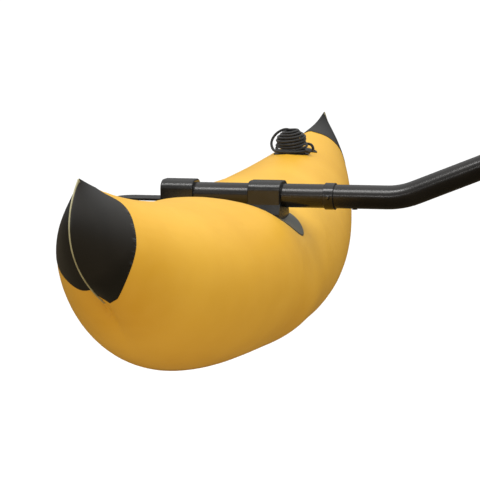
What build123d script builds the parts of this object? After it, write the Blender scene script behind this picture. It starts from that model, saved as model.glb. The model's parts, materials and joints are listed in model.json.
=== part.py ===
from build123d import *
import math
import os

# Outrigger float on its arm, in millimetres and degrees.
# The frame's origin is the centre of the arm's inboard end face. +X runs from the float towards the boat,
# +Y along the float and +Z up. Functions below work in the float's own frame, whose origin is on the
# tube's axis above the middle of the float, and place_on_arm() carries their shapes to the arm's frame.

# Arm tubes
tube_diameter = 32.0
tube_wall = 1.6
arm_rise_angle = 21.5
arm_rise_length = 405.0
bend_radius = 105.0
bend_corner_x = 252.5
slip_clearance = 0.05
end_plug_inset = 0.2
end_plug_wall = 2.5

# Joint between the two tubes
collar_x = 155.0
collar_length = 14.0
collar_wall = 2.0
collar_chamfer = 0.5
connector_wall = 1.5
connector_reach_outboard = 48.0
connector_reach_inboard = 52.0
rivet_shank_radius = 2.0
rivet_head_radius = 3.6
rivet_head_height = 1.1
rivet_tail_height = 1.4
rivet_tail_ratio = 1.4
rivet_head_sink = 0.5
plug_depth = 12.0
plug_flange = 2.0

# Snap button and its V spring
button_radius = 3.0
button_proud = 1.3
button_base_radius = 4.2
button_base_thickness = 1.4
button_clearance = 0.08
button_base_drop = 0.8
button_dome = 1.35
button_bore_margin = 2.0
spring_width = 7.0
spring_thickness = 0.6
spring_length = 36.0
spring_bow_outside = 1.5
spring_bow_inside = 0.6
spring_near_gap = 0.05
spring_far_gap = 0.1

# Float: a crest line, a keel line, a half breadth, and an end seam that bulges outwards
crest_half_length = 545.0
keel_half_length = 452.0
half_breadth = 136.5
float_depth = 191.7
crest_sheer = 64.2
crest_power = 2.69
keel_rise = 127.6
keel_power = 3.69
end_bulge = 74.3
end_bulge_power = 4.5
plan_power = 2.05
plan_blunt = 0.644
breadth_drop = 0.027
saddle_depth = 31.5
saddle_reach = 63.1
saddle_flat_reach = 110.0
saddle_flat_power = 2.0
tip_crease = 0.765
tip_crease_power = 5.9
crest_below_tube = 23.3
skin_thickness = 0.9
skin_rows = 61
skin_columns = 21
surface_tolerance = 0.1

# Welded black patches and seam edges
patch_thickness = 0.8
seam_edge_width = 1.5
seam_edge_proud = 1.8
seam_edge_root = 2.0
seam_edge_start = 0.01
seam_edge_end = 0.96
seam_edge_points = 13
# Each leaf's inner edge, from above the crest to its point on the seam: distance along the float, height
bow_starboard_leaf = [(490.0, 64.0), (482.0, 48.0), (470.0, 38.0), (473.0, 28.0), (482.0, 14.0), (491.0, -8.0),
                      (498.0, -28.0), (500.0, -50.0), (495.0, -65.0), (485.0, -78.0), (463.0, -88.0)]
bow_port_leaf = [(490.0, 64.0), (482.0, 48.0), (468.0, 36.0), (464.0, 20.0), (468.0, 0.0), (480.0, -19.0),
                 (502.0, -38.0), (511.0, -51.0), (508.0, -64.0)]
stern_leaf = [(462.0, 70.0), (463.0, 50.0), (476.0, 44.0), (492.0, 32.0), (503.0, 16.0), (508.0, 0.0),
              (508.0, -18.0), (505.0, -36.0), (500.0, -52.0), (493.0, -66.0), (482.0, -78.0), (463.0, -88.0)]

# Tube holders on the crest
outer_holder_x = -56.0
inner_holder_x = 67.0
holder_length = 46.0
holder_wall = 4.0
holder_crown_radius = 13.0
holder_end_wall = 3.0
holder_edge_fillet = 2.0
holder_flare = 5.0
holder_flare_height = 12.0
holder_clearance = 0.08
holder_patch_thickness = 1.2
holder_patch_width = 58.0
holder_patch_margin = 8.0
holder_tongue = 26.0
tab_length = 70.0
tab_width = 44.0
tab_thickness = 3.0
tab_top = -5.5

# Valve with its cap, and the cord wound round it
valve_y = 360.0
valve_bore_radius = 9.0
valve_neck_radius = 12.5
valve_neck_height = 11.0
valve_neck_depth = 13.0
valve_flange_radius = 15.8
valve_flange_height = 2.6
valve_flange_depth = 6.0
valve_patch_radius = 27.0
ear_length = 35.0
ear_radius = 5.5
ear_hole_radius = 2.4
ear_angle = 40.0
ear_root_ratio = 0.55
valve_reach = 30.0
cap_wall = 2.4
cap_clearance = 0.1
cap_top = 3.0
cap_grip_height = 3.5
cap_grip_thickness = 4.0
cap_grip_inset = 2.0
cap_gap = 0.3
spider_thickness = 2.5
spider_hub_radius = 4.5
spider_arm_width = 2.6
spider_height = 6.0
stem_radius = 2.0
stem_clearance = 0.06
stem_head_drop = 2.0
stem_head_thickness = 1.5
stem_disc_radius = 10.8
stem_disc_thickness = 1.6
seal_radius = 0.9
seal_ring_radius = 10.2
seat_gap = 0.05
valve_spring_wire = 0.6
valve_spring_radius = 3.1
valve_spring_turns = 4
valve_spring_gap = 0.1
coil_radius = 23.5
coil_bulge = 1.5
coil_inner_radius = 16.4
coil_height = 36.0
coil_crown_radius = 9.0
coil_shoulder_radius = 14.0
coil_shoulder_drop = 4.0
coil_foot = 8.0
coil_foot_inset = 1.0
coil_side_start = 2.0
coil_bulge_height = 0.4
coil_cap_room = 1.5

# Sizes that follow from the ones above
tube_radius = tube_diameter / 2
tube_bore_radius = tube_radius - tube_wall
connector_radius = tube_bore_radius - slip_clearance
connector_bore_radius = connector_radius - connector_wall
collar_radius = tube_radius + collar_wall
joint_x = collar_x + collar_length / 2
bend_tangent = bend_radius * math.tan(math.radians(arm_rise_angle / 2))
arm_end_x = bend_corner_x + (arm_rise_length + bend_tangent) * math.cos(math.radians(arm_rise_angle))
arm_end_z = (arm_rise_length + bend_tangent) * math.sin(math.radians(arm_rise_angle))
holder_outer_end = outer_holder_x - holder_length / 2
tube_outer_end = holder_outer_end + holder_end_wall + holder_clearance + plug_flange
holder_half_width = tube_radius + holder_wall
rivet_bottom = connector_bore_radius - rivet_tail_height
cut_size = 1400.0
pick_margin = 1.0
fine_pick_margin = 0.01
on_base = (Align.CENTER, Align.CENTER, Align.MIN)

os.makedirs("parts", exist_ok=True)


def place_on_arm(shape):
    """Move a shape from the float's frame to the arm's."""
    return Pos(-arm_end_x, 0, -arm_end_z) * shape


def write(name, shape):
    export_step(place_on_arm(shape), f"parts/{name}.step")
    print(name, round(shape.volume / 1000, 2), "cm3")


def along_x(x, shape):
    """Turn a shape drawn along Z so that it runs along X, with its base at x."""
    return Pos(x, 0, 0) * Rot(0, 90, 0) * shape


def rod_x(radius, start, end):
    """A round bar on the tube's axis."""
    return along_x(start, Cylinder(radius, end - start, align=on_base))


def pipe_x(radius, bore, start, end):
    return rod_x(radius, start, end) - rod_x(bore, start, end)


# The float's surface


def saddle(crest_y):
    """How far the crest sinks where the tube lies across it."""
    return saddle_depth * math.exp(-((crest_y / saddle_reach) ** 2))


def crest_z(u):
    sheer = crest_sheer * abs(u) ** crest_power
    return sheer + saddle_depth - saddle(u * crest_half_length) - crest_below_tube


def keel_z(u):
    return keel_rise * abs(u) ** keel_power - float_depth - crest_below_tube


def skin_point(u, t, growth):
    """A point of one half of the float: u runs along it from -1 to 1, t from crest to keel."""
    middle = math.exp(-((u * crest_half_length / saddle_flat_reach) ** 2))
    flat = middle * max(0.0, math.cos(t)) ** saddle_flat_power
    crease = tip_crease * abs(u) ** tip_crease_power
    down = (1 - crease) * (1 - flat) * (1 - math.cos(t)) / 2 + crease * t / math.pi
    length = (crest_half_length + growth) * (1 - down) + (keel_half_length + growth) * down
    bulge = math.copysign(end_bulge * abs(u) ** end_bulge_power * math.sin(t), u)
    plan = max(0.0, 1 - abs(u) ** plan_power) ** plan_blunt
    around = t + breadth_drop * math.sin(t) ** 2
    x = (half_breadth + growth) * plan * max(0.0, math.sin(around))
    z = (crest_z(u) + growth) * (1 - down) + (keel_z(u) - growth) * down
    return Vector(x, u * length + bulge, z)


def float_body(growth):
    """The closed float, grown outwards by a thickness, as two halves that meet in the plane X = 0."""
    around = [math.pi * column / (skin_columns - 1) for column in range(skin_columns)]
    rows = []
    for row in range(skin_rows):
        u = math.sin(math.pi * (row / (skin_rows - 1) - 0.5))
        rows.append([skin_point(u, t, growth) for t in around])
    half = Face.make_surface_from_array_of_points(rows, tol=surface_tolerance)
    return Solid(Shell([half, half.mirror(Plane.YZ)]))


hull = float_body(0.0)
patched_hull = float_body(patch_thickness)
padded_hull = float_body(holder_patch_thickness)


def valve_place():
    """The valve's frame: on the crest, square to it."""
    u = valve_y / crest_half_length
    step = 0.001
    slope = (crest_z(u + step) - crest_z(u - step)) / (2 * step * crest_half_length)
    return Pos(0, valve_y, crest_z(u)) * Rot(math.degrees(math.atan(slope)), 0, 0)


valve_frame = valve_place()


def valve_rod(radius, start, end):
    """A round bar on the valve's axis, between two heights above the crest."""
    return valve_frame * Pos(0, 0, start) * Cylinder(radius, end - start, align=on_base)


def float_skin():
    shell = hull - float_body(-skin_thickness)
    return shell - valve_rod(valve_neck_radius, -valve_neck_depth, valve_neck_height)


def end_patch(leaf, end, side):
    """A black leaf over one side of one tip; end and side are -1 or 1."""
    points = [(end * y, z) for y, z in leaf]
    tip = end * cut_size / 2
    foot = points[-1]
    rest = Polyline(foot, (tip, foot[1]), (tip, cut_size), (points[0][0], cut_size), points[0])
    block = extrude(Plane.YZ * make_face(Spline(points) + rest), amount=side * cut_size / 2)
    return (patched_hull & block) - hull


def seam_edge(end):
    """The welded lap that stands out along one tip's seam."""
    span = seam_edge_end - seam_edge_start
    last = seam_edge_points - 1
    angles = [math.pi * (seam_edge_start + span * step / last) for step in range(seam_edge_points)]
    far = [skin_point(end, t, seam_edge_proud) for t in angles]
    near = [skin_point(end, t, -seam_edge_root) for t in angles]
    outer = [(p.Y, p.Z) for p in far]
    inner = [(p.Y, p.Z) for p in reversed(near)]
    outline = Spline(outer) + Line(outer[-1], inner[0]) + Spline(inner) + Line(inner[-1], outer[0])
    fin = extrude(Plane.YZ * make_face(outline), amount=seam_edge_width / 2, both=True)
    return fin - patched_hull


# Tube holders


def holder_profile():
    """The section of a holder: a boxy round crown over flanks that flare at the foot."""
    half = holder_half_width
    foot = half + holder_flare
    bottom = -crest_below_tube - saddle_depth
    flare_top = -crest_below_tube + holder_flare_height
    flank = Polyline((0, half), (half, half), (half, flare_top), (foot, -crest_below_tube))
    base = Polyline((foot, -crest_below_tube), (foot, bottom), (0, bottom), (0, half))
    face = make_face(flank + base)
    whole = face + mirror(face, about=Plane.YZ)
    top = whole.vertices().filter_by(lambda v: v.Y > half - pick_margin)
    return fillet([v for v in top if abs(v.X) > pick_margin], holder_crown_radius)


def holder_block(x):
    """A holder before it is bored, standing on its base patch."""
    return extrude(Plane.YZ.offset(x - holder_length / 2) * holder_profile(), amount=holder_length)


def ease_ends(block, x):
    """Round the rims of both end faces above the foot."""
    half = holder_length / 2
    ends = [e for e in block.edges() if abs(abs(e.center().X - x) - half) < fine_pick_margin]
    return fillet([e for e in ends if e.center().Z > 0], holder_edge_fillet)


def inner_tube_holder():
    block = ease_ends(holder_block(inner_holder_x), inner_holder_x)
    start = inner_holder_x - holder_length
    bore = rod_x(tube_radius + holder_clearance, start, inner_holder_x + holder_length)
    return block - bore - padded_hull


def holder_tab():
    """The flat round-ended tab on the outer holder's closed end."""
    root = holder_outer_end + holder_end_wall / 2
    straight = tab_length - tab_width / 2
    plate = Pos(root - straight / 2, 0, 0) * Rectangle(straight, tab_width)
    plate += Pos(root - straight, 0, 0) * Circle(tab_width / 2)
    return Pos(0, 0, tab_top - tab_thickness) * extrude(plate, amount=tab_thickness)


def outer_tube_holder():
    block = ease_ends(holder_block(outer_holder_x), outer_holder_x)
    start = holder_outer_end + holder_end_wall
    bore = rod_x(tube_radius + holder_clearance, start, outer_holder_x + holder_length)
    return (block + holder_tab()) - bore - padded_hull


def holder_patch(start, end):
    """An oval base patch between two places along the tube, cut from the padded skin."""
    oval = Pos((start + end) / 2, 0, 0) * SlotOverall(end - start, holder_patch_width)
    column = Pos(0, 0, -float_depth / 2) * extrude(oval, amount=float_depth)
    return (padded_hull & column) - hull


def inner_holder_patch():
    return holder_patch(inner_holder_x - holder_length / 2 - holder_patch_margin,
                        inner_holder_x + holder_length / 2 + holder_tongue)


def outer_holder_patch():
    return holder_patch(holder_outer_end - holder_patch_margin,
                        outer_holder_x + holder_length / 2 + holder_patch_margin)


# Arm


def outboard_tube():
    tube = pipe_x(tube_radius, tube_bore_radius, tube_outer_end, joint_x)
    return tube - button_hole()


def inboard_tube():
    corners = [(joint_x, 0, 0), (bend_corner_x, 0, 0), (arm_end_x, 0, arm_end_z)]
    path = FilletPolyline(*corners, radius=bend_radius)
    start = Plane(origin=(joint_x, 0, 0), z_dir=(1, 0, 0))
    tube = sweep(start * Circle(tube_radius), path=path) - sweep(start * Circle(tube_bore_radius), path=path)
    return tube - rivet_shanks()


def tube_connector():
    start = joint_x - connector_reach_outboard
    end = joint_x + connector_reach_inboard
    sleeve = pipe_x(connector_radius, connector_bore_radius, start, end)
    return sleeve - button_hole() - rivet_shanks()


def joint_collar():
    ring = pipe_x(collar_radius, tube_radius, collar_x - collar_length / 2, joint_x)
    rims = ring.edges().filter_by(GeomType.CIRCLE).filter_by(lambda e: e.radius > collar_radius - pick_margin)
    return chamfer(rims, collar_chamfer) - button_hole()


def rivet_directions():
    """Places of the two rivets: far side and underside of the tube."""
    x = joint_x + connector_reach_inboard / 2
    far = Plane(origin=(x, 0, 0), z_dir=(0, 1, 0))
    under = Plane(origin=(x, 0, 0), z_dir=(0, 0, -1))
    return [far, under]


def standing(plane, radius, start, end):
    """A round bar that stands out along a plane's normal."""
    return plane.offset(start) * Cylinder(radius, end - start, align=on_base)


def rivet_shanks():
    top = tube_radius + rivet_head_height
    return [standing(plane, rivet_shank_radius, rivet_bottom, top) for plane in rivet_directions()]


def one_rivet(plane):
    """A shank with a head on the tube and a spread tail inside the sleeve."""
    tail_radius = rivet_shank_radius * rivet_tail_ratio
    shank = standing(plane, rivet_shank_radius, rivet_bottom, tube_radius)
    head_bottom = tube_radius - rivet_head_sink
    head = standing(plane, rivet_head_radius, head_bottom, tube_radius + rivet_head_height)
    tail = standing(plane, tail_radius, rivet_bottom, connector_bore_radius)
    outside = head - rod_x(tube_radius, joint_x, bend_corner_x)
    inside = tail & rod_x(connector_bore_radius, joint_x, bend_corner_x)
    return shank + outside + inside


def connector_rivets():
    return Compound([one_rivet(plane) for plane in rivet_directions()])


def outboard_end_plug():
    flange = rod_x(tube_radius - end_plug_inset, tube_outer_end - plug_flange, tube_outer_end)
    return flange + rod_x(tube_bore_radius, tube_outer_end, tube_outer_end + plug_depth)


def inboard_end_plug():
    rise = math.radians(arm_rise_angle)
    along = Vector(math.cos(rise), 0, math.sin(rise))
    back = Plane(origin=(arm_end_x, 0, arm_end_z), z_dir=-along)
    plug = standing(back, tube_bore_radius, 0, plug_depth)
    return plug - standing(back, tube_bore_radius - end_plug_wall, plug_flange, plug_flange + plug_depth)


# Snap button: it stands on the side of the tube that faces -Y

button_plane = Plane(origin=(collar_x, 0, 0), z_dir=(0, -1, 0))
button_base_top = connector_bore_radius - button_base_drop
button_base_bottom = button_base_top - button_base_thickness


def button_hole():
    start = connector_bore_radius - button_bore_margin
    return standing(button_plane, button_radius + button_clearance, start, collar_radius + button_bore_margin)


def snap_button():
    pin = standing(button_plane, button_radius, button_base_bottom, collar_radius + button_proud)
    pin = fillet(pin.edges().group_by(Axis.Y)[0], button_dome)
    return pin + standing(button_plane, button_base_radius, button_base_bottom, button_base_top)


def button_spring():
    """A V of spring strip: one leaf under the button, the other on the far wall."""
    start = collar_x - button_base_radius
    end = collar_x + spring_length
    inner_end = end - 2 * spring_thickness
    near = spring_near_gap - button_base_bottom
    far = math.sqrt(connector_bore_radius ** 2 - (spring_width / 2) ** 2) - spring_far_gap
    middle = (far + near) / 2
    outside = Polyline((start, near), (end, middle - spring_bow_outside), (end, middle + spring_bow_outside),
                       (start, far))
    upper = middle + spring_bow_inside
    lower = middle - spring_bow_inside
    far_leaf = Polyline((start, far), (start, far - spring_thickness), (inner_end, upper))
    near_leaf = Polyline((inner_end, lower), (start, near + spring_thickness), (start, near))
    inside = far_leaf + Line(far_leaf @ 1, near_leaf @ 0) + near_leaf
    return extrude(make_face(outside + inside), amount=spring_width / 2, both=True)


# Valve


def valve_patch():
    """The round base patch with a pointed ear that carries the tether's eyelet."""
    disc = Circle(valve_patch_radius)
    angle = math.radians(ear_angle)
    tip = (ear_length * math.cos(angle), ear_length * math.sin(angle))
    root = Circle(valve_patch_radius * ear_root_ratio)
    ear = make_hull([*root.edges(), *(Pos(*tip) * Circle(ear_radius)).edges()])
    outline = (disc + ear) - Pos(*tip) * Circle(ear_hole_radius)
    column = valve_frame * Pos(0, 0, -valve_reach) * extrude(outline, amount=2 * valve_reach)
    return ((padded_hull & column) - hull) - valve_rod(valve_neck_radius, -valve_reach, valve_reach)


def valve_body():
    neck = valve_rod(valve_neck_radius, -valve_neck_depth, valve_neck_height)
    flange = valve_rod(valve_flange_radius, -valve_flange_depth, valve_flange_height)
    flange -= valve_rod(valve_neck_radius, -valve_flange_depth, valve_flange_height)
    bore = valve_rod(valve_bore_radius, -valve_neck_depth, valve_neck_height)
    return neck + (flange - padded_hull) - bore


spider_bottom = spider_height - valve_neck_depth
spider_top = spider_bottom + spider_thickness
disc_bottom = -valve_neck_depth - 2 * seal_radius - seat_gap - stem_disc_thickness


def valve_spider():
    hub = Circle(spider_hub_radius)
    arm = Pos(valve_bore_radius / 2, 0, 0) * Rectangle(valve_bore_radius, spider_arm_width)
    for angle in (0, 120, 240):
        hub += Rot(0, 0, angle) * arm
    hub = (hub & Circle(valve_bore_radius)) - Circle(stem_radius + stem_clearance)
    return valve_frame * Pos(0, 0, spider_bottom) * extrude(hub, amount=spider_thickness)


stem_head_top = valve_neck_height - stem_head_drop


def valve_stem():
    """Stem, sealing disc below the seat, and the button that a thumb presses."""
    stem = valve_rod(stem_radius, disc_bottom, stem_head_top)
    disc = valve_rod(stem_disc_radius, disc_bottom, disc_bottom + stem_disc_thickness)
    head = valve_rod(spider_hub_radius, stem_head_top - stem_head_thickness, stem_head_top)
    return stem + disc + head


def valve_seal():
    ring = Torus(seal_ring_radius, seal_radius)
    return valve_frame * Pos(0, 0, -valve_neck_depth - seal_radius) * ring


def valve_spring():
    top = stem_head_top - stem_head_thickness - valve_spring_gap
    base = spider_top + valve_spring_gap
    height = top - base - valve_spring_wire
    path = Helix(pitch=height / valve_spring_turns, height=height, radius=valve_spring_radius)
    start = Plane(origin=path @ 0, z_dir=path % 0)
    coil = sweep(start * Circle(valve_spring_wire / 2), path=path, is_frenet=True)
    return valve_frame * Pos(0, 0, base + valve_spring_wire / 2) * coil


def valve_cap():
    skirt_bore = valve_neck_radius + cap_clearance
    cap_radius = skirt_bore + cap_wall
    under = valve_flange_height + cap_gap
    crown = valve_neck_height + cap_gap
    cap = valve_rod(cap_radius, under, crown + cap_top) - valve_rod(skirt_bore, under, crown)
    bar = Box(2 * (cap_radius - cap_grip_inset), cap_grip_thickness, cap_grip_height, align=on_base)
    return cap + valve_frame * Pos(0, 0, crown + cap_top) * bar


def tether_cord():
    """The outer shape of the wound cord: a domed ring over the cap, open underneath."""
    room = valve_neck_height + cap_gap + cap_top + cap_grip_height + coil_cap_room
    shoulder = (coil_shoulder_radius, coil_height - coil_shoulder_drop)
    widest = (coil_radius + coil_bulge, coil_height * coil_bulge_height)
    foot = Polyline((coil_inner_radius, -coil_foot), (coil_radius - coil_foot_inset, -coil_foot),
                    (coil_radius, coil_side_start))
    side = ThreePointArc((coil_radius, coil_side_start), widest, shoulder)
    crown = Polyline(shoulder, (coil_crown_radius, coil_height), (0, coil_height), (0, room))
    inside = Polyline((0, room), (coil_inner_radius, room), (coil_inner_radius, -coil_foot))
    turned = revolve(Plane.XZ * make_face(foot + side + crown + inside), axis=Axis.Z)
    return (valve_frame * turned) - padded_hull


write("float_skin", float_skin())
write("bow_patch_port", end_patch(bow_port_leaf, -1, -1))
write("bow_patch_starboard", end_patch(bow_starboard_leaf, -1, 1))
write("stern_patch_port", end_patch(stern_leaf, 1, -1))
write("stern_patch_starboard", end_patch(stern_leaf, 1, 1))
write("bow_seam_edge", seam_edge(-1))
write("stern_seam_edge", seam_edge(1))
write("outer_tube_holder", outer_tube_holder())
write("inner_tube_holder", inner_tube_holder())
write("outer_holder_patch", outer_holder_patch())
write("inner_holder_patch", inner_holder_patch())
write("valve_patch", valve_patch())
write("valve_body", valve_body())
write("valve_spider", valve_spider())
write("valve_stem", valve_stem())
write("valve_seal", valve_seal())
write("valve_spring", valve_spring())
write("valve_cap", valve_cap())
write("tether_cord", tether_cord())
write("outboard_tube", outboard_tube())
write("inboard_tube", inboard_tube())
write("tube_connector", tube_connector())
write("joint_collar", joint_collar())
write("connector_rivets", connector_rivets())
write("outboard_end_plug", outboard_end_plug())
write("inboard_end_plug", inboard_end_plug())
write("snap_button", snap_button())
write("button_spring", button_spring())
float_place = Pos(-arm_end_x, 0, -arm_end_z)
print("float's origin in the arm's frame", float_place.position)
print("valve on the crest", (float_place * valve_frame).position, "axis", Plane(valve_frame).z_dir)
print("valve spring's fixed end", (float_place * valve_frame * Pos(0, 0, spider_top)).position)
print("button travel that clears the tube", collar_radius + button_proud - tube_bore_radius)
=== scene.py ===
import json
import math

import bpy
from mathutils import Matrix, Vector

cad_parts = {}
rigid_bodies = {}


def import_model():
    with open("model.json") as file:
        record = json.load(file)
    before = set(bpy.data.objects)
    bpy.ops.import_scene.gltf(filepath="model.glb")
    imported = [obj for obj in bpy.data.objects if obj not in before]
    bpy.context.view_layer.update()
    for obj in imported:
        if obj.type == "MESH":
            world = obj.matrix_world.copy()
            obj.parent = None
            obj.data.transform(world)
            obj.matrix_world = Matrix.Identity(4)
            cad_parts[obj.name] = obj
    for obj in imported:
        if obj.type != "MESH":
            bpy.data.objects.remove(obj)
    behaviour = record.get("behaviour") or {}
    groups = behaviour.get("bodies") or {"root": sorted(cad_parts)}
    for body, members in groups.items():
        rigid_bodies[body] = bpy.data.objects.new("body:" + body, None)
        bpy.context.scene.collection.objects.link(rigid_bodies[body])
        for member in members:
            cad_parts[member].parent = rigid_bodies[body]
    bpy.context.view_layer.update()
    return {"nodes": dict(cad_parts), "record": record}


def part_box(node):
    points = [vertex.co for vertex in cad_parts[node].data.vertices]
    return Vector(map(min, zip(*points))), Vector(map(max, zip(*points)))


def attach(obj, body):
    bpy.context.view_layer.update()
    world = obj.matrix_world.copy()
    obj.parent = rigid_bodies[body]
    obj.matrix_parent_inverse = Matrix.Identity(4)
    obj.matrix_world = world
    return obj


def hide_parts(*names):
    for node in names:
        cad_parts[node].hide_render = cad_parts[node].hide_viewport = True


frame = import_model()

nodes = frame["nodes"]
print("frame loaded,", len(nodes), "nodes")

# where the float and its valve are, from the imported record
joints = {joint["name"]: joint for joint in frame["record"]["behaviour"]["joints"]}
floatCentre = Vector(joints["float_pitch"]["pos_m"])
valveBase = Vector(joints["cap_turn"]["pos_m"])
valveUp = Vector(joints["cap_turn"]["axis"]).normalized()
valveSide = Vector((1, 0, 0))
valveAlong = valveUp.cross(valveSide)


# camera and cord come first

cameraSettings = {
    "azimuth": 17.303, "elevation": 6.181, "roll": -0.657, "distance": 3.5783,
    "target": (-0.647867, 0.0, -0.179039), "lens": 198.12, "sensor": 36.0,
    "shiftX": 0.0413, "shiftY": -0.0600, "seesTo": 200,
}


def placeCamera(s):
    turn, lift, roll = (math.radians(s[key]) for key in ("azimuth", "elevation", "roll"))
    back = Vector((math.sin(turn) * math.cos(lift), -math.cos(turn) * math.cos(lift), math.sin(lift)))
    right = Vector((math.cos(turn), math.sin(turn), 0))
    up = back.cross(right)
    rolledRight = right * math.cos(roll) + up * math.sin(roll)
    rolledUp = up * math.cos(roll) - right * math.sin(roll)
    bpy.ops.object.camera_add()
    camera = bpy.context.object
    camera.name = "viewCamera"
    place = Matrix((rolledRight, rolledUp, back)).transposed().to_4x4()
    place.translation = Vector(s["target"]) + back * s["distance"]
    camera.matrix_world = place
    camera.data.sensor_width = s["sensor"]
    camera.data.lens = s["lens"]
    camera.data.shift_x, camera.data.shift_y = s["shiftX"], s["shiftY"]
    camera.data.clip_end = s["seesTo"]
    bpy.context.scene.camera = camera


placeCamera(cameraSettings)
print("camera placed")


def onlyThis(thing):
    # every operator acts on the selection, so nothing else is left selected
    if bpy.context.object and bpy.context.object.mode != "OBJECT":
        bpy.ops.object.mode_set(mode="OBJECT")
    bpy.ops.object.select_all(action="DESELECT")
    bpy.context.view_layer.objects.active = thing
    thing.select_set(True)


def copyOf(thing, name):
    made = thing.copy()
    made.data = thing.data.copy()
    made.name = name
    for key in list(made.keys()):
        if key.startswith("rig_"):
            del made[key]
    made.parent = None
    bpy.context.collection.objects.link(made)
    made.matrix_world = Matrix.Identity(4)
    return made


def applied(thing, kind, **settings):
    # add one modifier, set it and apply it
    onlyThis(thing)
    modifier = thing.modifiers.new(kind.title(), kind)
    for key, value in settings.items():
        setattr(modifier, key, value)
    bpy.ops.object.modifier_apply(modifier=modifier.name)


def atValve(radius, degrees, height):
    # a place round the valve, in millimetres and degrees
    angle = math.radians(degrees)
    out = valveSide * math.cos(angle) + valveAlong * math.sin(angle)
    return valveBase + (out * radius + valveUp * height) / 1000


cordSettings = {
    "diameter": 4.0, "length": 0.95, "pointsPerTurn": 15, "fineness": 4, "sides": 3,
    # radius and height of the winding at the start of each turn, and where it ends
    "turns": [(22.6, 3.3), (22.4, 7.6), (20.6, 11.9), (21.6, 16.2), (19.6, 20.4), (16.4, 24.2),
              (12.4, 27.4), (9.8, 29.8)],
    "wander": 0.8, "slant": 0.8, "slantTurn": 0.35, "wanderTurn": 1.9,
    # the lead from the eyelet to the first turn, and the loose loop after the last one
    "lead": [(35.0, 40, -4.0), (35.0, 41, 0.5), (33.0, 48, 3.8),
             (29.0, 62, 4.2), (25.2, 80, 3.4), (23.2, 99, 3.2)],
    "firstDegrees": 118,
    "tail": [(12.5, 138, 30.2), (18.0, 154, 28.6), (24.0, 166, 24.5), (28.6, 174, 18.6), (30.8, 181, 12.0),
             (29.8, 188, 6.2), (27.2, 198, 2.2), (25.8, 212, 1.8), (25.2, 228, 2.3), (25.0, 245, 2.8),
             (25.0, 262, 3.0), (25.0, 279, 3.0), (25.0, 296, 2.7), (25.2, 312, 2.1), (25.8, 327, 1.5),
             (26.6, 341, 1.0)],
}


def windCord(s):
    points = [atValve(*place) for place in s["lead"]]
    turns = s["turns"]
    steps = (len(turns) - 1) * s["pointsPerTurn"]
    # whole turns, after which the loose loop takes over
    for step in range(steps + 1):
        along = step / s["pointsPerTurn"]
        first = min(int(along), len(turns) - 2)
        part = along - first
        radius = turns[first][0] * (1 - part) + turns[first + 1][0] * part
        height = turns[first][1] * (1 - part) + turns[first + 1][1] * part
        degrees = s["firstDegrees"] + 360 * along
        around = math.radians(degrees)
        radius += s["wander"] * math.sin(2 * around + s["wanderTurn"] * along)
        height += s["slant"] * math.sin(around + s["slantTurn"] * along)
        points.append(atValve(radius, degrees, height))
    points += [atValve(*place) for place in s["tail"]]
    bpy.ops.object.select_all(action="DESELECT")
    bpy.ops.curve.primitive_nurbs_path_add()
    cord = bpy.context.object
    cord.name = "tetherCord"
    line = cord.data
    line.splines.clear()
    spline = line.splines.new("NURBS")
    spline.points.add(len(points) - 1)
    for point, place in zip(spline.points, points):
        point.co = (*place, 1)
    spline.order_u = 3
    spline.use_endpoint_u = True
    spline.resolution_u = s["fineness"]
    line.dimensions = "3D"
    # the line that the tube follows is read while the curve is still bare
    bare = bpy.data.meshes.new_from_object(cord.evaluated_get(bpy.context.evaluated_depsgraph_get()))
    path = [tuple(vertex.co) for vertex in bare.vertices]
    bpy.data.meshes.remove(bare)
    line.bevel_depth = s["diameter"] / 2000
    line.bevel_resolution = s["sides"]
    line.use_fill_caps = True
    onlyThis(cord)
    bpy.ops.object.convert(target="MESH")
    cord = bpy.context.object
    bpy.ops.object.shade_smooth()
    cord.data.materials.clear()
    return cord, points, path


knotSettings = {"ring": 0.0036, "strand": 0.0021, "twist": 0.55, "stretch": 1.35, "lobes": 3, "bulge": 0.08,
                "ringSteps": 40, "strandSteps": 14}


def tieKnot(place, s):
    # an overhand knot: a fat little ring, twisted and drawn long
    bpy.ops.object.select_all(action="DESELECT")
    bpy.ops.mesh.primitive_torus_add(major_segments=s["ringSteps"], minor_segments=s["strandSteps"],
                                     major_radius=s["ring"], minor_radius=s["strand"])
    knot = bpy.context.object
    knot.name = "cordKnot"
    for vertex in knot.data.vertices:
        angle = math.atan2(vertex.co.y, vertex.co.x)
        vertex.co.z += s["strand"] * s["twist"] * math.sin(s["lobes"] * angle)
        vertex.co.x *= s["stretch"]
        vertex.co *= 1 + s["bulge"] * math.sin(s["lobes"] * angle)
    knot.data.transform(Matrix.Translation(place))
    onlyThis(knot)
    bpy.ops.object.shade_smooth()
    return knot


tetherCord, cordPoints, cordPath = windCord(cordSettings)
cordKnot = tieKnot(cordPoints[-1], knotSettings)
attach(tetherCord, "float")
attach(cordKnot, "float")
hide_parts("tether_cord")
print("cord wound,", len(cordPoints), "points")


# the float's skin: an even mesh drawn over the fixed surface, with faint puckers

skinSettings = {
    "cell": 0.0045, "film": 0.0009, "holeRadius": 0.0127,
    "pucker": 0.0009, "puckerSize": 0.055, "wave": 0.0010, "waveSize": 0.16,
    # the puckers fade out towards the welded patches and the holders
    "calmFrom": 0.36, "calmTo": 0.42, "holderReach": 0.05, "saddleReach": 0.20,
    "valveEdge": 0.03, "valveReach": 0.03, "crestDepth": 0.06, "holderHalf": 0.03,
    # the wall of the valve's hole, in the fixed surface
    "merge": 0.00001, "wallRadius": 0.0131, "wallReach": 0.02, "wallLean": 0.5,
    "smoothTimes": 4, "smoothFactor": 0.5, "cutterSides": 64, "cutterDepth": 0.03, "smoothAngle": 40,
}


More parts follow.
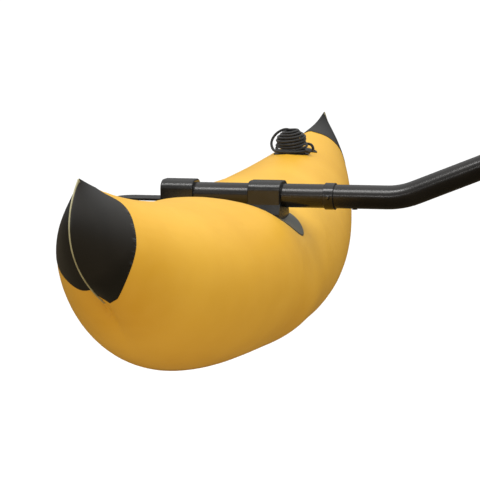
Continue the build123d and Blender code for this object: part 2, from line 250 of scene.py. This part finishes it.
def outerWall(source, s):
    skin = copyOf(source, "floatSkin")
    onlyThis(skin)
    bpy.ops.object.mode_set(mode="EDIT")
    bpy.ops.mesh.select_all(action="SELECT")
    bpy.ops.mesh.remove_doubles(threshold=s["merge"])
    bpy.ops.mesh.select_all(action="DESELECT")
    bpy.ops.object.mode_set(mode="OBJECT")
    # the short wall of the valve's hole joins the outer and the inner skin
    for face in skin.data.polygons:
        offset = face.center - valveBase
        flat = offset - valveUp * offset.dot(valveUp)
        upright = abs(face.normal.dot(valveUp)) < s["wallLean"]
        face.select = upright and flat.length < s["wallRadius"] and offset.length < s["wallReach"]
    bpy.ops.object.mode_set(mode="EDIT")
    bpy.ops.mesh.delete(type="FACE")
    bpy.ops.object.mode_set(mode="OBJECT")
    farthest = max(skin.data.vertices, key=lambda vertex: vertex.co.x)
    farthest.select = True
    bpy.ops.object.mode_set(mode="EDIT")
    bpy.ops.mesh.select_mode(type="VERT")
    bpy.ops.mesh.select_linked()
    bpy.ops.mesh.select_all(action="INVERT")
    bpy.ops.mesh.delete(type="VERT")
    bpy.ops.mesh.select_all(action="DESELECT")
    bpy.ops.mesh.select_non_manifold()
    bpy.ops.mesh.edge_face_add()
    bpy.ops.object.mode_set(mode="OBJECT")
    return skin


def calmness(place, s):
    # 1 where the skin is free, 0 where something is welded to it
    along = abs(place.y - floatCentre.y)
    tips = 1 - min(1, max(0, (along - s["calmFrom"]) / (s["calmTo"] - s["calmFrom"])))
    valve = min(1, max(0, ((place - valveBase).length - s["valveEdge"]) / s["valveReach"]))
    above = place.z > floatCentre.z - s["crestDepth"]
    holders = min(1, max(0, (along - s["holderHalf"]) / s["holderReach"])) if above else 1
    return tips * valve * holders


def drawSkin(s):
    skin = outerWall(nodes["float_skin"], s)
    shape = copyOf(skin, "skinShape")
    applied(skin, "REMESH", mode="VOXEL", voxel_size=s["cell"])
    applied(skin, "SMOOTH", iterations=s["smoothTimes"], factor=s["smoothFactor"])
    applied(skin, "SHRINKWRAP", target=shape, wrap_method="NEAREST_SURFACEPOINT")
    free = skin.vertex_groups.new(name="free")
    saddle = skin.vertex_groups.new(name="saddle")
    for vertex in skin.data.vertices:
        calm = calmness(vertex.co, s)
        near = math.exp(-(((vertex.co.y - floatCentre.y) / s["saddleReach"]) ** 2))
        free.add([vertex.index], calm, "REPLACE")
        saddle.add([vertex.index], calm * near, "REPLACE")
    for name, group, strength, size in (("waves", "free", s["wave"], s["waveSize"]),
                                        ("puckers", "saddle", s["pucker"], s["puckerSize"])):
        clouds = bpy.data.textures.new(name, "CLOUDS")
        clouds.noise_scale = size
        applied(skin, "DISPLACE", texture=clouds, strength=strength, vertex_group=group, mid_level=0.5)
    applied(skin, "SOLIDIFY", thickness=s["film"], offset=-1)
    bpy.ops.object.select_all(action="DESELECT")
    bpy.ops.mesh.primitive_cylinder_add(vertices=s["cutterSides"], radius=s["holeRadius"],
                                        depth=s["cutterDepth"])
    cutter = bpy.context.object
    turn = Vector((0, 0, 1)).rotation_difference(valveUp).to_matrix().to_4x4()
    cutter.data.transform(Matrix.Translation(valveBase) @ turn)
    applied(skin, "BOOLEAN", object=cutter, operation="DIFFERENCE", solver="EXACT")
    for spare in (shape, cutter):
        bpy.data.objects.remove(spare)
    onlyThis(skin)
    bpy.ops.object.shade_smooth_by_angle(angle=math.radians(s["smoothAngle"]))
    skin.data.materials.clear()
    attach(skin, "float")
    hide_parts("float_skin")
    return skin


floatSkin = drawSkin(skinSettings)
print("skin drawn,", len(floatSkin.data.polygons), "faces")


# the leaves that run down to the seam have their feet cut at a slant there

leafSettings = {"names": {"bow_patch_starboard": "bowLeafStarboard",
                          "stern_patch_starboard": "sternLeafStarboard",
                          "stern_patch_port": "sternLeafPort"},
                "rise": 0.55, "merge": 0.000001, "smoothAngle": 20}


def trimLeaf(node, name, s):
    low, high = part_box(node)
    side = 1 if low[0] + high[0] > 2 * floatCentre.x else -1
    leaf = copyOf(nodes[node], name)
    onlyThis(leaf)
    bpy.ops.object.mode_set(mode="EDIT")
    bpy.ops.mesh.select_all(action="SELECT")
    bpy.ops.mesh.remove_doubles(threshold=s["merge"])
    bpy.ops.mesh.bisect(plane_co=(floatCentre.x, 0, low[2]), plane_no=(side * s["rise"], 0, -1),
                        clear_outer=True, use_fill=True)
    bpy.ops.object.mode_set(mode="OBJECT")
    bpy.ops.object.shade_smooth_by_angle(angle=math.radians(s["smoothAngle"]))
    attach(leaf, "float")
    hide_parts(node)
    return leaf


leaves = [trimLeaf(node, name, leafSettings) for node, name in leafSettings["names"].items()]
print("leaves trimmed,", len(leaves))


# shader maths: an output of a node, with operators that add Math nodes

class Flow:
    def __init__(self, tree, socket=None):
        self.tree = tree
        self.socket = socket

    def node(self, kind, settings=None, sockets=None, output=0):
        made = self.tree.nodes.new(kind)
        for key, value in (settings or {}).items():
            if key == "stops":
                ramp = made.color_ramp
                while len(ramp.elements) < len(value):
                    ramp.elements.new(0.5)
                for element, (place, colour) in zip(ramp.elements, value):
                    element.position = place
                    element.color = (*colour, 1)
            else:
                setattr(made, key, value)
        for key, value in (sockets or {}).items():
            if isinstance(value, Flow):
                self.tree.links.new(value.socket, made.inputs[key])
            else:
                made.inputs[key].default_value = value
        return Flow(self.tree, made.outputs[output]) if len(made.outputs) else None

    def maths(self, operation, first, second):
        return self.node("ShaderNodeMath", {"operation": operation}, {0: first, 1: second})

    def __add__(self, other):
        return self.maths("ADD", self, other)

    __radd__ = __add__

    def __sub__(self, other):
        return self.maths("SUBTRACT", self, other)

    def __rsub__(self, other):
        return self.maths("SUBTRACT", other, self)

    def __mul__(self, other):
        return self.maths("MULTIPLY", self, other)

    __rmul__ = __mul__

    def noise(self, where, scale, detail=3.0, roughness=0.5):
        return self.node("ShaderNodeTexNoise", None,
                         {"Vector": where, "Scale": scale, "Detail": detail, "Roughness": roughness})

    def mixed(self, factor, first, second):
        return self.node("ShaderNodeMix", {"data_type": "RGBA"},
                         {0: factor, 6: (*first, 1) if isinstance(first, tuple) else first,
                          7: (*second, 1) if isinstance(second, tuple) else second}, 2)

    def between(self, value, low=0.35, high=0.65):
        # spreads a noise, which stays near its middle, over the range from 0 to 1
        return self.node("ShaderNodeMapRange", {"clamp": True},
                         {"Value": value, "From Min": low, "From Max": high})


def newLook(name):
    material = bpy.data.materials.new(name)
    material.use_nodes = True
    tree = material.node_tree
    tree.nodes.clear()
    flow = Flow(tree)
    where = flow.node("ShaderNodeTexCoord", output=3)
    return material, flow, where


def closeLook(flow, sockets, height=None, strength=0.2, distance=0.001):
    if height is not None:
        sockets["Normal"] = flow.node("ShaderNodeBump", None,
                                      {"Strength": strength, "Distance": distance, "Height": height})
    shader = flow.node("ShaderNodeBsdfPrincipled", None, sockets)
    flow.node("ShaderNodeOutputMaterial", None, {"Surface": shader})


def stretched(flow, where, scale, turn=(0, 0, 0)):
    return flow.node("ShaderNodeMapping", None, {"Vector": where, "Scale": scale, "Rotation": turn})


yellowSettings = {"deep": (0.72, 0.385, 0.020), "light": (0.80, 0.455, 0.036), "pale": (0.86, 0.55, 0.11),
                  "broadScale": 5.0, "fineScale": 38.0, "grainScale": 900.0, "scuffScale": 26.0,
                  "fineMix": 0.08, "scuffMix": 0.08, "roughness": 0.45, "coat": 0.05,
                  "coatRoughness": 0.28, "gloss": 0.5, "bump": 0.10, "bumpDepth": 0.0004}


def yellowLook(s):
    material, flow, where = newLook("yellowPvc")
    broad = flow.between(flow.noise(where, s["broadScale"], 3))
    fine = flow.between(flow.noise(where, s["fineScale"], 4), 0.3, 0.7)
    grain = flow.noise(where, s["grainScale"], 2)
    scuffs = flow.between(flow.noise(stretched(flow, where, (1, 3, 1)), s["scuffScale"], 6, 0.7), 0.62, 0.78)
    colour = flow.mixed(broad, s["deep"], s["light"])
    colour = flow.mixed(fine * s["fineMix"], colour, s["pale"])
    colour = flow.mixed(scuffs * s["scuffMix"], colour, s["pale"])
    rough = s["roughness"] + (fine - 0.5) * 0.07 + scuffs * 0.10 + (grain - 0.5) * 0.05
    height = grain * 0.35 + fine * 0.65
    closeLook(flow, {"Base Color": colour, "Roughness": rough, "Coat Weight": s["coat"],
                     "Coat Roughness": s["coatRoughness"], "Specular IOR Level": s["gloss"]},
              height, s["bump"], s["bumpDepth"])
    return material


filmSettings = {"dark": (0.005, 0.005, 0.004), "worn": (0.015, 0.013, 0.010), "broadScale": 9.0,
                "grainScale": 700.0, "creaseScale": 14.0, "roughness": 0.36,
                "grainMix": 0.05, "gloss": 0.5, "bump": 0.30, "bumpDepth": 0.004}
# the inner holder's patch is the same black film, made lighter and greyer: painted sheen, standing in for
# the sky that this upward-facing patch reflects
paintedSheenSettings = {"dark": (0.075, 0.078, 0.062), "worn": (0.115, 0.118, 0.098), "roughness": 0.42}


def filmLook(s, name):
    material, flow, where = newLook(name)
    broad = flow.between(flow.noise(where, s["broadScale"], 3))
    grain = flow.noise(where, s["grainScale"], 3)
    creases = flow.noise(stretched(flow, where, (1.6, 1, 0.6)), s["creaseScale"], 2)
    colour = flow.mixed(broad, s["dark"], s["worn"])
    rough = s["roughness"] + (broad - 0.5) * 0.10 + (grain - 0.5) * 0.08
    closeLook(flow, {"Base Color": colour, "Roughness": rough, "Specular IOR Level": s["gloss"]},
              creases * 0.8 + grain * s["grainMix"], s["bump"], s["bumpDepth"])
    return material


mouldedSettings = {"dark": (0.004, 0.004, 0.004), "worn": (0.010, 0.010, 0.009), "sparkScale": 1600.0,
                   "flowScale": 30.0, "roughness": 0.25, "bump": 0.12, "bumpDepth": 0.0003}
collarSettings = {"dark": (0.006, 0.006, 0.006), "worn": (0.014, 0.013, 0.013), "sparkScale": 1200.0,
                  "flowScale": 60.0, "roughness": 0.14, "bump": 0.12, "bumpDepth": 0.0003}
rubberSettings = {"dark": (0.010, 0.010, 0.010), "worn": (0.020, 0.020, 0.020), "sparkScale": 700.0,
                  "flowScale": 90.0, "roughness": 0.55, "bump": 0.12, "bumpDepth": 0.0003}


def mouldedLook(s, name):
    material, flow, where = newLook(name)
    spark = flow.noise(where, s["sparkScale"], 2)
    flowMarks = flow.between(flow.noise(where, s["flowScale"], 3))
    colour = flow.mixed(flowMarks, s["dark"], s["worn"])
    rough = s["roughness"] + (flowMarks - 0.5) * 0.08 + (spark - 0.5) * 0.10
    closeLook(flow, {"Base Color": colour, "Roughness": rough}, spark, s["bump"], s["bumpDepth"])
    return material


tubeSettings = {"dark": (0.006, 0.005, 0.004), "worn": (0.013, 0.011, 0.009), "bare": (0.16, 0.15, 0.14),
                "drawnLength": 0.06, "lineScale": 500.0, "blotchScale": 11.0, "scratchScale": 190.0,
                "roughness": 0.27, "metallic": 0.25, "coat": 0.2, "coatRoughness": 0.16,
                "scratchMix": 0.25, "bump": 0.05, "bumpDepth": 0.0002}


def tubeLook(s, name, lean):
    # drawn tube: fine lines run along it, so the noise is squeezed along its length
    material, flow, where = newLook(name)
    along = stretched(flow, where, (s["drawnLength"], 1, 1), (0, lean, 0))
    lines = flow.noise(along, s["lineScale"], 3)
    blotch = flow.between(flow.noise(where, s["blotchScale"], 3))
    scratches = flow.between(flow.noise(along, s["scratchScale"], 4, 0.7), 0.68, 0.76)
    colour = flow.mixed(blotch, s["dark"], s["worn"])
    colour = flow.mixed(scratches * s["scratchMix"], colour, s["bare"])
    rough = s["roughness"] + (lines - 0.5) * 0.14 + (blotch - 0.5) * 0.06
    closeLook(flow, {"Base Color": colour, "Roughness": rough, "Metallic": s["metallic"],
                     "Coat Weight": s["coat"], "Coat Roughness": s["coatRoughness"]},
              lines, s["bump"], s["bumpDepth"])
    return material


cordColours = {"dark": (0.002, 0.002, 0.002), "worn": (0.014, 0.014, 0.013), "ribScale": 320.0,
               "fibreScale": 1500.0, "roughness": 0.52, "lean": 0.8, "unevenness": 1.2,
               "sheen": 0.15, "bump": 0.5, "bumpDepth": 0.0006}


def cordLook(s):
    # a braid: two slanted sets of ribs that cross
    material, flow, where = newLook("braidedCord")
    ribs = []
    for lean in (s["lean"], -s["lean"]):
        turned = stretched(flow, where, (1, 1, 1), (0.3, lean, 0.4))
        ribs.append(flow.node("ShaderNodeTexWave", {"wave_type": "BANDS", "bands_direction": "Z"},
                              {"Vector": turned, "Scale": s["ribScale"],
                               "Distortion": s["unevenness"], "Detail": 1.0}, 1))
    braid = ribs[0] * ribs[1]
    fibres = flow.noise(where, s["fibreScale"], 2)
    colour = flow.mixed(braid, s["dark"], s["worn"])
    rough = s["roughness"] + (fibres - 0.5) * 0.2
    closeLook(flow, {"Base Color": colour, "Roughness": rough, "Sheen Weight": s["sheen"]},
              braid * 0.8 + fibres * 0.2, s["bump"], s["bumpDepth"])
    return material


steelSettings = {"dark": (0.42, 0.42, 0.43), "light": (0.62, 0.62, 0.63), "lineScale": 300.0,
                 "roughness": 0.28, "metallic": 1.0, "bump": 0.08, "bumpDepth": 0.0002}
darkSteel = {"dark": (0.05, 0.05, 0.05), "light": (0.10, 0.10, 0.10), "roughness": 0.2}
aluminiumSettings = {"dark": (0.55, 0.56, 0.57), "light": (0.72, 0.73, 0.74), "lineScale": 220.0,
                     "roughness": 0.36, "metallic": 1.0, "bump": 0.08, "bumpDepth": 0.0002}


def plainMetalLook(s, name):
    material, flow, where = newLook(name)
    lines = flow.noise(stretched(flow, where, (1, 1, 6)), s["lineScale"], 3)
    colour = flow.mixed(flow.between(lines), s["dark"], s["light"])
    rough = s["roughness"] + (lines - 0.5) * 0.18
    closeLook(flow, {"Base Color": colour, "Roughness": rough, "Metallic": s["metallic"]},
              lines, s["bump"], s["bumpDepth"])
    return material


edgeSettings = {"pale": (0.34, 0.32, 0.19), "soiled": (0.19, 0.17, 0.09),
                "weaveScale": 700.0, "dirtScale": 60.0, "dirtMix": 0.6, "roughness": 0.6,
                "bump": 0.3, "bumpDepth": 0.0005}


def edgeLook(s):
    # the cut edge of the welded film, with the weave of its core
    material, flow, where = newLook("cutEdge")
    weave = flow.noise(where, s["weaveScale"], 3)
    dirt = flow.between(flow.noise(where, s["dirtScale"], 4), 0.45, 0.7)
    colour = flow.mixed(dirt * s["dirtMix"], s["pale"], s["soiled"])
    rough = s["roughness"] + (weave - 0.5) * 0.2
    closeLook(flow, {"Base Color": colour, "Roughness": rough}, weave, s["bump"], s["bumpDepth"])
    return material


armLean = math.atan2(frame["record"]["mounts"][0]["axis"][2], frame["record"]["mounts"][0]["axis"][0])
moulded = mouldedLook(mouldedSettings, "mouldedBlack")
film = filmLook(filmSettings, "blackPvc")
# a lighter copy of the black film: painted sheen for the inner holder's patch
paintedSheenFilm = filmLook({**filmSettings, **paintedSheenSettings}, "blackPvcPaintedSheen")
edge = edgeLook(edgeSettings)
steel = plainMetalLook(steelSettings, "springSteel")
buttonSteel = plainMetalLook({**steelSettings, **darkSteel}, "darkSteel")
aluminium = plainMetalLook(aluminiumSettings, "bareAluminium")
collar = mouldedLook(collarSettings, "collarBlack")
rubber = mouldedLook(rubberSettings, "sealRubber")
levelTube = tubeLook(tubeSettings, "levelTube", 0)
risingTube = tubeLook(tubeSettings, "risingTube", armLean)
looks = {
    film: ["bow_patch_port", "outer_holder_patch", "valve_patch"],
    paintedSheenFilm: ["inner_holder_patch"],
    edge: ["bow_seam_edge", "stern_seam_edge"],
    moulded: ["outer_tube_holder", "inner_tube_holder", "valve_body", "valve_spider", "valve_stem",
              "valve_cap", "outboard_end_plug", "inboard_end_plug"],
    rubber: ["valve_seal"],
    steel: ["valve_spring", "button_spring"],
    buttonSteel: ["snap_button"],
    collar: ["joint_collar", "connector_rivets"],
    levelTube: ["outboard_tube"],
    risingTube: ["inboard_tube"],
    aluminium: ["tube_connector"],
}


def wear(thing, material):
    thing.data.materials.clear()
    thing.data.materials.append(material)


for material, names in looks.items():
    for name in names:
        wear(nodes[name], material)
for leaf in leaves:
    wear(leaf, film)
wear(floatSkin, yellowLook(yellowSettings))
cordMaterial = cordLook(cordColours)
wear(tetherCord, cordMaterial)
wear(cordKnot, cordMaterial)
print("materials given,", len(bpy.data.materials))


# stage: a wide pale floor far below, which lights nothing, and a soft sky that is warm below

stageSettings = {"floorHeight": -0.85, "floorSize": 160.0, "floorColour": (0.98, 0.98, 0.98),
                 "skyTop": 1.34, "skyLow": 0.60, "skyBelow": 0.74, "warmBelow": (1.0, 0.80, 0.50),
                 "gloomInGloss": 0.85,
                 "floorSteps": 8, "floorWorn": (0.94, 0.94, 0.94), "floorMix": 0.02, "floorScale": 0.4,
                 "horizon": 0.06}
lightSettings = [
    # name, place from the float's centre, size, power and colour
    ("keyLight", (-0.2, -1.2, 1.8), (1.5, 0.5), 13, (1.0, 0.99, 0.97)),
    ("ridgeLight", (0.2, -0.5, 1.6), (2.0, 0.16), 11, (1.0, 1.0, 1.0)),
    ("frontLight", (0.2, -2.6, 0.7), (1.5, 0.22), 9, (1.0, 0.98, 0.95)),
]


def buildStage(s):
    bpy.ops.object.select_all(action="DESELECT")
    bpy.ops.mesh.primitive_grid_add(x_subdivisions=s["floorSteps"], y_subdivisions=s["floorSteps"],
                                    size=s["floorSize"], location=(0, 0, s["floorHeight"]))
    floor = bpy.context.object
    floor.name = "paleFloor"
    material, flow, where = newLook("paleFloor")
    tone = flow.noise(where, s["floorScale"], 2)
    colour = flow.mixed(tone * s["floorMix"], s["floorColour"], s["floorWorn"])
    closeLook(flow, {"Base Color": colour, "Roughness": 1.0, "Specular IOR Level": 0.0})
    wear(floor, material)
    floor.visible_diffuse = False
    floor.visible_glossy = False
    world = bpy.data.worlds.new("softWorld")
    bpy.context.scene.world = world
    world.use_nodes = True
    world.node_tree.nodes.clear()
    flow = Flow(world.node_tree)
    direction = flow.node("ShaderNodeTexCoord", output=0)
    upward = flow.node("ShaderNodeSeparateXYZ", None, {"Vector": direction}, 2)
    above = flow.between(upward, -s["horizon"], s["horizon"])
    climb = flow.between(upward, 0.0, 1.0)
    strength = s["skyBelow"] + above * (s["skyLow"] - s["skyBelow"]) + climb * (s["skyTop"] - s["skyLow"])
    # gloss sees a dimmer room than the soft light does, as in a studio with dark walls
    glossy = flow.node("ShaderNodeLightPath", output="Is Glossy Ray")
    strength = strength * (1 - glossy * s["gloomInGloss"] * (1 - climb))
    colour = flow.mixed(above, s["warmBelow"], (1.0, 1.0, 1.0))
    light = flow.node("ShaderNodeBackground", None, {"Color": colour, "Strength": strength})
    flow.node("ShaderNodeOutputWorld", None, {"Surface": light})


def hangLight(name, offset, size, power, colour):
    bpy.ops.object.light_add(type="AREA", location=floatCentre + Vector(offset))
    lamp = bpy.context.object
    lamp.name = name
    lamp.data.shape = "RECTANGLE"
    lamp.data.size, lamp.data.size_y = size
    lamp.data.energy = power
    lamp.data.color = colour
    lamp.rotation_euler = (-Vector(offset)).to_track_quat("-Z", "Y").to_euler()


buildStage(stageSettings)
for light in lightSettings:
    hangLight(*light)
bpy.context.scene.view_settings.view_transform = "Standard"
print("stage and lights set")
